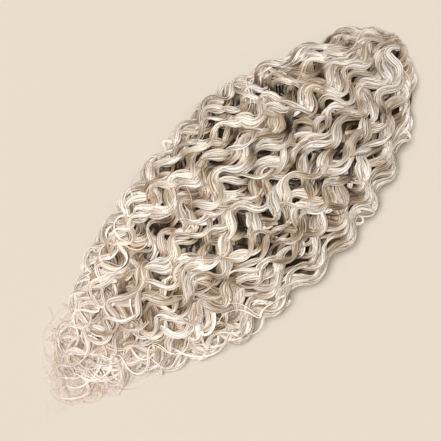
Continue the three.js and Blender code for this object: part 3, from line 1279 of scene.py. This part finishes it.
@dataclass
class LockLayer:
    """One layer of locks side by side in the bundle.

    Each lock draws its values between a pair: rise as a share of the mound, start as a station, and
    ends as the share of locks that the tail still holds. A pair of lanes is where a change happens:
    locks keep a tidy line along one edge and a ragged one along the other. crossing is about the share
    of locks that bob the other way from the rest.
    """

    name: str
    form: BundleForm
    nodes: tuple[str, ...]
    lanes: np.ndarray
    rise: Pair
    seed: int
    spread: float = 0.07
    pitch_spread: float = 0.3
    drift: float = 0.16
    turn: float = 0.0
    swing: Pair = (0.0050, 0.0072)
    lift: float = 0.0028
    lift_spread: Pair = (0.6, 1.4)
    width: Pair = (0.0052, 0.0104)
    start: Pair = (0.972, 1.0)
    ends: Pair = (0.15, 0.6)
    loop: Pair = (-0.8, 1.0)
    wound: float = 0.6
    crossing: float = 0.3
    tidy: float = 0.8
    tidy_lanes: Pair = (-0.5, -0.9)
    ragged: float = 1.4
    ragged_lanes: Pair = (0.6, 0.9)
    edge_lanes: Pair = (0.6, 0.95)
    edge_swing: float = 0.18
    edge_width: float = 0.35
    edge_power: int = 3
    edge_start: float = 0.85
    hand_turns: float = 1.6
    hand_tidy: float = 1.3
    hand_lanes: Pair = (-0.4, -0.6)
    pieces: int = 1
    size: StrandSize = StrandSize()
    corners: int = 4

    def hands(self, lane: np.ndarray, start: float) -> np.ndarray:
        """Which way each lock bobs: a sine across the lanes, raised along the tidy edge, against a
        level, so that neighbours are alike.

        Args:
            lane: The locks' lanes.
            start: Where the sine starts, in turns.

        Returns:
            +1 for a lock that is highest where its waves' cosine is, and -1 for one that is lowest there.
        """
        swell = np.sin(TURN * (self.hand_turns * lane + start))
        swell = swell + self.hand_tidy * smooth(*self.hand_lanes, lane)
        return np.where(swell > np.cos(np.pi * self.crossing), 1.0, -1.0)

    def plan(self) -> LockPlan:
        """Give each lock its own winding; it ends where the tail has narrowed to its rank.

        Returns:
            The plan of the layer's locks.
        """
        rng = np.random.default_rng(self.seed)
        lane = np.asarray(self.lanes, float)
        count = len(lane)
        rank = (np.arange(count) * GOLDEN_SHARE + rng.random()) % 1.0
        shift, pitch = self.form.lay(lane)
        free = 1.0 - self.tidy * smooth(*self.tidy_lanes, lane)
        loose = free + self.ragged * smooth(*self.ragged_lanes, lane)
        edge = smooth(*self.edge_lanes, np.abs(lane))
        return LockPlan(
            lane=lane,
            drift=rng.normal(0.0, self.drift, count) * free,
            rise=rng.uniform(*self.rise, count),
            turn=self.turn * free + shift + rng.normal(0.0, self.spread, count) * loose,
            pitch=pitch * (1.0 + rng.normal(0.0, self.pitch_spread * self.spread, count)),
            swing=rng.uniform(*self.swing, count) * (1.0 - self.edge_swing * edge),
            lift=self.lift * rng.uniform(*self.lift_spread, count) * free,
            hand=self.hands(lane, rng.random()),
            width=rng.uniform(*self.width, count) * (1.0 - self.edge_width * np.abs(lane) ** self.edge_power),
            start=1.0 - (1.0 - rng.uniform(*self.start, count)) * (1.0 - self.edge_start * lane * lane),
            end=self.form.tail_end(self.ends[0] + (self.ends[1] - self.ends[0]) * rank),
            loop=rng.uniform(*self.loop, count),
            wound=self.wound * rng.random(count),
        )

    def build(self, material: bpy.types.Material) -> list[bpy.types.Object]:
        """Wind the layer's locks into strands and dress them, in as many pieces as asked.

        Args:
            material: Their finish.

        Returns:
            The pieces.
        """
        strands = Winder(self.plan(), self.form, self.size, self.seed + STRAND_SEED).strands()
        shares = np.array_split(np.arange(len(strands.tones)), self.pieces)
        pieces = []
        for number, share in enumerate(shares, 1):
            piece = StrandPiece(f"{self.name}_{number}", self.nodes, self.corners)
            pieces.append(piece.build(strands.pick(share), material))
        return pieces


@dataclass
class TailCurls:
    """Loose curls that run out of the tail past the ends of the locks, or along the bundle's edges."""

    name: str
    form: BundleForm
    count: int
    width: Pair
    seed: int
    size: StrandSize
    corners: int
    lanes: Pair = (0.0, 0.95)
    ends: Pair = (0.015, 0.19)
    length: Pair = (0.14, 0.26)
    rise: Pair = (0.5, 1.2)
    drift: float = 0.25
    spread: float = 0.14
    pitch: Pair = (0.8, 1.0)
    swing: Pair = (0.0045, 0.0072)
    lift: Pair = (0.0008, 0.002)
    loop: Pair = (0.2, 0.85)
    forward: float = 0.6

    def build(self, material: bpy.types.Material) -> bpy.types.Object:
        """Wind the curls nearly in step with the locks, so that a few close into rings.

        Args:
            material: Their finish.

        Returns:
            The piece.
        """
        rng = np.random.default_rng(self.seed)
        count = self.count
        end = rng.uniform(*self.ends, count)
        lane = rng.uniform(*self.lanes, count) * np.where(np.arange(count) % 2 == 0, 1.0, -1.0)
        shift, pitch = self.form.lay(lane)
        plan = LockPlan(
            lane=lane,
            drift=rng.normal(0.0, self.drift, count),
            rise=rng.uniform(*self.rise, count),
            turn=shift + rng.normal(0.0, self.spread, count),
            pitch=pitch * rng.uniform(*self.pitch, count),
            swing=rng.uniform(*self.swing, count),
            lift=rng.uniform(*self.lift, count),
            hand=either_way(rng, count),
            width=rng.uniform(*self.width, count),
            start=end + rng.uniform(*self.length, count),
            end=end,
            loop=rng.uniform(*self.loop, count) * either_way(rng, count, self.forward),
            wound=np.zeros(count),
        )
        strands = Winder(plan, self.form, self.size, self.seed + STRAND_SEED).strands()
        return StrandPiece(self.name, ("lower_locks",), self.corners).build(strands, material)


@dataclass
class LooseHairs:
    """Single hairs that stand off the locks, most of them round the tail."""

    name: str
    form: BundleForm
    nodes: tuple[str, ...]
    count: int
    seed: int
    size: StrandSize
    ends: Pair
    length: Pair
    lane: float
    width: Pair = (0.0003, 0.0008)
    pitch: Pair = (0.028, 0.042)
    swing: Pair = (0.005, 0.009)
    drift: float = 0.25
    rise: Pair = (0.5, 1.06)
    lift: Pair = (0.001, 0.003)
    loop: Pair = (0.5, 1.4)
    corners: int = 4

    def build(self, material: bpy.types.Material) -> bpy.types.Object:
        """Wind each hair by itself, wider than the locks it left.

        Args:
            material: Their finish.

        Returns:
            The piece.
        """
        rng = np.random.default_rng(self.seed)
        count = self.count
        end = rng.uniform(*self.ends, count)
        plan = LockPlan(
            lane=rng.uniform(-self.lane, self.lane, count),
            drift=rng.normal(0.0, self.drift, count),
            rise=rng.uniform(*self.rise, count),
            turn=rng.random(count),
            pitch=rng.uniform(*self.pitch, count),
            swing=rng.uniform(*self.swing, count),
            lift=rng.uniform(*self.lift, count),
            hand=either_way(rng, count),
            width=rng.uniform(*self.width, count),
            start=end + rng.uniform(*self.length, count),
            end=end,
            loop=rng.uniform(*self.loop, count) * either_way(rng, count),
            wound=np.zeros(count),
        )
        strands = Winder(plan, self.form, self.size, self.seed + STRAND_SEED).strands()
        return StrandPiece(self.name, self.nodes, self.corners).build(strands, material)


@dataclass
class WrapLock:
    """The hooked lock that folds over the head.

    bends has a row per bend, in millimetres: x, y and how deep the lock sinks there.
    """

    form: BundleForm
    bends: tuple[Point, ...] = (
        (217, 1, 3), (210, 6, 0.5), (204, 4.5, 0), (203, -2, 0), (203, -9, 0), (199, -15, 0.5), (192, -17, 3),
    )
    width: float = 6.5 * MM
    count: int = 4
    steps: int = 60
    corners: int = 8
    seed: int = 81
    end_share: float = 0.04
    place_spread: float = 0.03
    width_spread: float = 0.1
    overlap: float = 1.3
    thickness: float = 0.6
    lift: float = 2.4 * MM
    arch: float = 0.3
    roll: float = 1.6
    station: float = 0.93
    tones: Pair = (0.4, 0.9)
    hues: Pair = (0.2, 0.6)

    def build(self, material: bpy.types.Material) -> bpy.types.Object:
        """Run strands side by side along a smooth curve through the bends, over an arch, with a breadth
        that goes with a sine along the lock.

        Args:
            material: Their finish.

        Returns:
            The piece.
        """
        rng = np.random.default_rng(self.seed)
        x, y, sink = curve_through(np.array(self.bends) * MM, self.steps).T
        place = self.form.at(x)
        centre = np.stack((x, y, place.top(y - place.mid) - sink), axis=-1)
        way = unit(np.gradient(centre, axis=0) * np.array((1.0, 1.0, 0.0)))
        side = np.stack((-way[:, 1], way[:, 0], np.zeros_like(x)), axis=-1)
        across = np.linspace(-0.5, 0.5, self.count)[:, None]
        across = across + rng.normal(0.0, self.place_spread, (self.count, 1))
        share = np.linspace(self.end_share, 1.0 - self.end_share, self.steps)[None, :]
        breadth = self.width * (0.5 + 0.5 * np.sin(np.pi * share))
        centres = centre[None] + (across * breadth)[..., None] * side[None]
        centres[..., 2] += self.lift - self.arch * breadth * (2.0 * across) ** 2
        half = 0.5 * self.overlap * breadth / self.count
        half = half * (1.0 + rng.normal(0.0, self.width_spread, (self.count, 1)))
        faces = np.array((0.0, 0.0, 1.0)) + (self.roll * across)[..., None] * side[None]
        strands = Strands(
            centres,
            faces,
            half,
            self.thickness * half,
            rng.uniform(*self.tones, self.count),
            rng.uniform(*self.hues, self.count),
            np.full(half.shape, self.station),
            np.ones(half.shape),
        )
        return StrandPiece("wrap_lock_strands", ("wrap_lock",), self.corners).build(strands, material)


@dataclass
class Studio:
    """The pale floor, one soft light nearly straight above and the camera over the bundle.

    The picture is square: pixel is the size of one of its pixels at aim_height, side_pixels how many
    it has to a side, and bundle_pixel where in it the bundle's origin falls.
    """

    pixel: float = 0.886 * MM
    side_pixels: int = 441
    sensor: float = 36.0
    height: float = 1.30
    aim_height: float = 0.022
    bundle_pixel: Pair = (227.7, 221.7)
    floor_colour: Colour = (0.634, 0.583, 0.511)
    floor_reach: float = 3.0
    floor_points: int = 5
    floor_drop: float = 0.05 * MM
    floor_roughness: float = 0.9
    floor_specular: float = 0.1
    mottle: float = 0.1
    mottle_scale: float = 3.0
    mottle_tone: float = 0.97
    room: float = 0.25
    room_colour: Colour = (1.0, 0.74, 0.50)
    key: float = 3.38
    key_angle: float = 0.45
    key_way: Point = (0.05, -0.15, -1.0)

    def camera(self) -> bpy.types.Object:
        """Stand the camera over the bundle, turned so that the head points to the upper right.

        Returns:
            The camera.
        """
        lens = bpy.data.cameras.new("camera")
        lens.sensor_width = self.sensor
        lens.lens = self.sensor * (self.height - self.aim_height) / (self.side_pixels * self.pixel)
        made = bpy.data.objects.new("camera", lens)
        bpy.context.scene.collection.objects.link(made)
        right = Vector((1.0, -1.0, 0.0)).normalized()
        up = Vector((1.0, 1.0, 0.0)).normalized()
        shift_right = (self.side_pixels / 2 - self.bundle_pixel[0]) * self.pixel
        shift_up = (self.bundle_pixel[1] - self.side_pixels / 2) * self.pixel
        place = right * shift_right + up * shift_up + Vector((0.0, 0.0, self.height))
        turn = Matrix((right, up, Vector((0.0, 0.0, 1.0)))).transposed().to_4x4()
        made.matrix_world = Matrix.Translation(place) @ turn
        bpy.context.scene.camera = made
        return made

    def floor_material(self) -> bpy.types.Material:
        """A matt, pale finish, mottled very faintly.

        Returns:
            The material.
        """
        material = bpy.data.materials.new("floor")
        material.use_nodes = True
        tools = NodeTools(material.node_tree)
        shader = material.node_tree.nodes["Principled BSDF"]
        noise = tools.add("ShaderNodeTexNoise")
        tools.feed(noise.inputs["Scale"], self.mottle_scale)
        tools.feed(noise.inputs["Vector"], tools.add("ShaderNodeTexCoord").outputs["Object"])
        share = tools.math("MULTIPLY", noise.outputs["Fac"], self.mottle)
        darker = tuple(self.mottle_tone * value for value in self.floor_colour)
        tools.feed(shader.inputs["Base Color"], tools.mix(share, self.floor_colour, darker))
        tools.feed(shader.inputs["Roughness"], self.floor_roughness)
        tools.feed(shader.inputs["Specular IOR Level"], self.floor_specular)
        return material

    def floor(self) -> bpy.types.Object:
        """Lay the floor: a square grid just under the bundle.

        Returns:
            The floor.
        """
        side = np.linspace(-self.floor_reach, self.floor_reach, self.floor_points)
        x, y = np.meshgrid(side, side, indexing="ij")
        points = np.stack((x, y, np.full_like(x, -self.floor_drop)), axis=-1).reshape(-1, 3)
        index = np.arange(x.size).reshape(x.shape)
        quads = np.stack((index[:-1, :-1], index[1:, :-1], index[1:, 1:], index[:-1, 1:]), axis=-1)
        mesh = bpy.data.meshes.new("floor")
        mesh.from_pydata(points.tolist(), [], quads.reshape(-1, 4).tolist())
        mesh.materials.append(self.floor_material())
        made = bpy.data.objects.new("floor", mesh)
        bpy.context.scene.collection.objects.link(made)
        return made

    def light(self) -> None:
        """Light the bundle with one broad soft light and a pale room all round."""
        world = bpy.data.worlds.new("room")
        world.use_nodes = True
        back = world.node_tree.nodes["Background"]
        back.inputs["Color"].default_value = (*self.room_colour, 1.0)
        back.inputs["Strength"].default_value = self.room
        bpy.context.scene.world = world
        key = bpy.data.lights.new("key", "SUN")
        key.energy = self.key
        key.angle = self.key_angle
        made = bpy.data.objects.new("key", key)
        bpy.context.scene.collection.objects.link(made)
        made.rotation_euler = Vector(self.key_way).to_track_quat("-Z", "Y").to_euler()
        view = bpy.context.scene.view_settings
        view.view_transform = "Standard"
        view.look = "None"

    def build(self) -> None:
        """Set up the camera, the floor and the lights."""
        self.camera()
        self.floor()
        self.light()


def hair_finishes() -> tuple[HairFinish, ...]:
    """The finishes of all the hair: deeper painted shade inside the bundle, lighter painted shade round the
    tail.

    Returns:
        The finishes.
    """
    return (
        HairFinish(Tone.SURFACE),
        # The same hair with deeper painted shade, for the locks inside the bundle.
        HairFinish(Tone.INNER, half_shade=(0.20, 0.15, 0.105), deep_shade=(0.032, 0.018, 0.009),
                   half_at=0.86, deep_at=0.68, specular=0.1),
        HairFinish(Tone.CORE, tail=(0.80, 0.675, 0.555), specular=0.1),
        # Lighter painted shade and softer streaks for the tail's curls.
        HairFinish(Tone.TAIL, streak=2.2, tone_low=0.86, tone_high=1.17, half_shade=(0.80, 0.68, 0.57),
                   deep_shade=(0.58, 0.45, 0.34), rim_shade=(0.90, 0.79, 0.67)),
        # Its own colours and lighter painted shade for single hairs.
        HairFinish(Tone.WISP, middle=(0.80, 0.71, 0.62), tail=(0.90, 0.77, 0.65),
                   half_shade=(0.75, 0.66, 0.57), deep_shade=(0.5, 0.42, 0.34)),
    )


def lock_layers(form: BundleForm) -> tuple[tuple[LockLayer, Tone], ...]:
    """The layers of locks from the foot up, and the finish of each.

    Args:
        form: The mound they lie in.

    Returns:
        The layers with their finishes.
    """
    return (
        (LockLayer("under_locks", form, LOWER_SOLIDS, lanes=np.linspace(-0.75, 0.75, 12), rise=(0.12, 0.3),
                   seed=11, start=(0.9, 0.95), ends=(0.5, 1.0), size=StrandSize(count=1, steps=110)),
         Tone.INNER),
        # Less painted shade on the locks along the edges.
        (LockLayer("side_locks", form, LOWER_SOLIDS, lanes=np.tile((-1.0, -0.94, 0.94, 1.0), 3),
                   rise=(0.3, 0.9), seed=12, drift=0.0, swing=(0.0048, 0.0068), start=(0.93, 0.975),
                   ends=(0.3, 0.9), size=StrandSize(burial_shade=0.35, dip_shade=0.2)), Tone.SURFACE),
        (LockLayer("inner_locks", form, UPPER_SOLIDS, lanes=np.linspace(-0.82, 0.82, 15), rise=(0.66, 0.76),
                   seed=13, spread=0.2, crossing=0.5, start=(0.9, 0.95), ends=(0.5, 1.0),
                   size=StrandSize(count=1, steps=130)), Tone.INNER),
        # Deeper painted shade on the locks that show between the top ones.
        (LockLayer("upper_locks_between", form, UPPER_SOLIDS, lanes=np.linspace(-0.92, 0.92, 15),
                   rise=(0.80, 0.90), seed=14, spread=0.12, turn=0.35, crossing=0.5, start=(0.95, 0.985),
                   ends=(0.25, 0.8), size=StrandSize(burial_shade=1.9)), Tone.SURFACE),
        (LockLayer("upper_locks_main", form, UPPER_SOLIDS, lanes=np.linspace(-0.97, 0.97, 32),
                   rise=(0.94, 1.03), seed=15, pieces=2, size=StrandSize(count=6, steps=180)), Tone.SURFACE),
        (LockLayer("over_locks", form, UPPER_SOLIDS, lanes=np.linspace(-0.6, 0.88, 11), rise=(1.02, 1.07),
                   seed=16, spread=0.25, turn=0.2, drift=0.3, width=(0.004, 0.0095), start=(0.62, 0.86),
                   ends=(0.3, 0.98), size=StrandSize(steps=130)), Tone.SURFACE),
    )


def tail_curls(form: BundleForm) -> tuple[TailCurls, ...]:
    """The curls that leave the locks: ribbons and fans at the tail, and ribbons along the edges.

    Args:
        form: The mound they lie on.

    Returns:
        The curls.
    """
    free = {
        "play": 0.3 * MM, "loosen": 5.0, "loosen_turn": 0.03, "loose_from": 0.5, "curl": 1.0, "calm": 0.15,
        "wander": 0.3, "own_way": 0.3, "end_spread": 0.012, "thin_tip": 0.15, "thin_from": 0.5,
        "dip_shade": 0.5,
    }
    ribbon = StrandSize(count=1, steps=100, overlap=0.6, **free)
    fan = StrandSize(count=4, backing=0, steps=90, overlap=1.2, thickness=0.5, **free)
    return (
        TailCurls("tail_ribbons", form, count=24, width=(0.0020, 0.0042), seed=71, size=ribbon, corners=6),
        TailCurls("tail_fans", form, count=12, width=(0.0040, 0.0080), seed=72, size=fan, corners=4),
        TailCurls("edge_curls", form, count=22, width=(0.0024, 0.0042), seed=73, size=ribbon, corners=6,
                  lanes=(0.86, 1.0), ends=(0.14, 0.82), length=(0.09, 0.17), rise=(0.7, 1.1)),
    )


def loose_hairs(form: BundleForm) -> tuple[LooseHairs, ...]:
    """The single hairs: wisps round the tip of the tail, and a few over the locks.

    Args:
        form: The mound they lie on.

    Returns:
        The hairs.
    """
    single = StrandSize(
        count=1, backing=0, steps=90, overlap=1.0, thickness=0.7, play=0.6 * MM, stray=0.8 * MM, loosen=2.0,
        curl=0.9, calm=0.1, wander=0.25, bound=1.6, thin_tip=0.25, thin_from=0.5,
    )
    return (
        LooseHairs("tail_wisps", form, ("lower_locks",), count=80, seed=91, size=single, ends=(-0.03, 0.035),
                   length=(0.07, 0.17), lane=1.25, width=(0.00035, 0.0007), pitch=(0.018, 0.034),
                   swing=(0.003, 0.008)),
        LooseHairs("loose_hairs", form, UPPER_SOLIDS, count=40, seed=92, size=single, ends=(0.2, 0.8),
                   length=(0.08, 0.2), lane=0.98),
    )


def main() -> None:
    """Load the frame, build the bundle from the inside out and set up the studio."""
    logging.basicConfig(level=logging.INFO, format="%(name)s: %(message)s")
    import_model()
    form = BundleForm()
    materials = {finish.tone: finish.material() for finish in hair_finishes()}
    PackedCore(form).build(materials[Tone.CORE])
    for layer, tone in lock_layers(form):
        layer.build(materials[tone])
    for curls in tail_curls(form):
        curls.build(materials[Tone.TAIL])
    for hairs in loose_hairs(form):
        hairs.build(materials[Tone.WISP])
    WrapLock(form).build(materials[Tone.SURFACE])
    Studio().build()


if __name__ == "__main__":
    main()
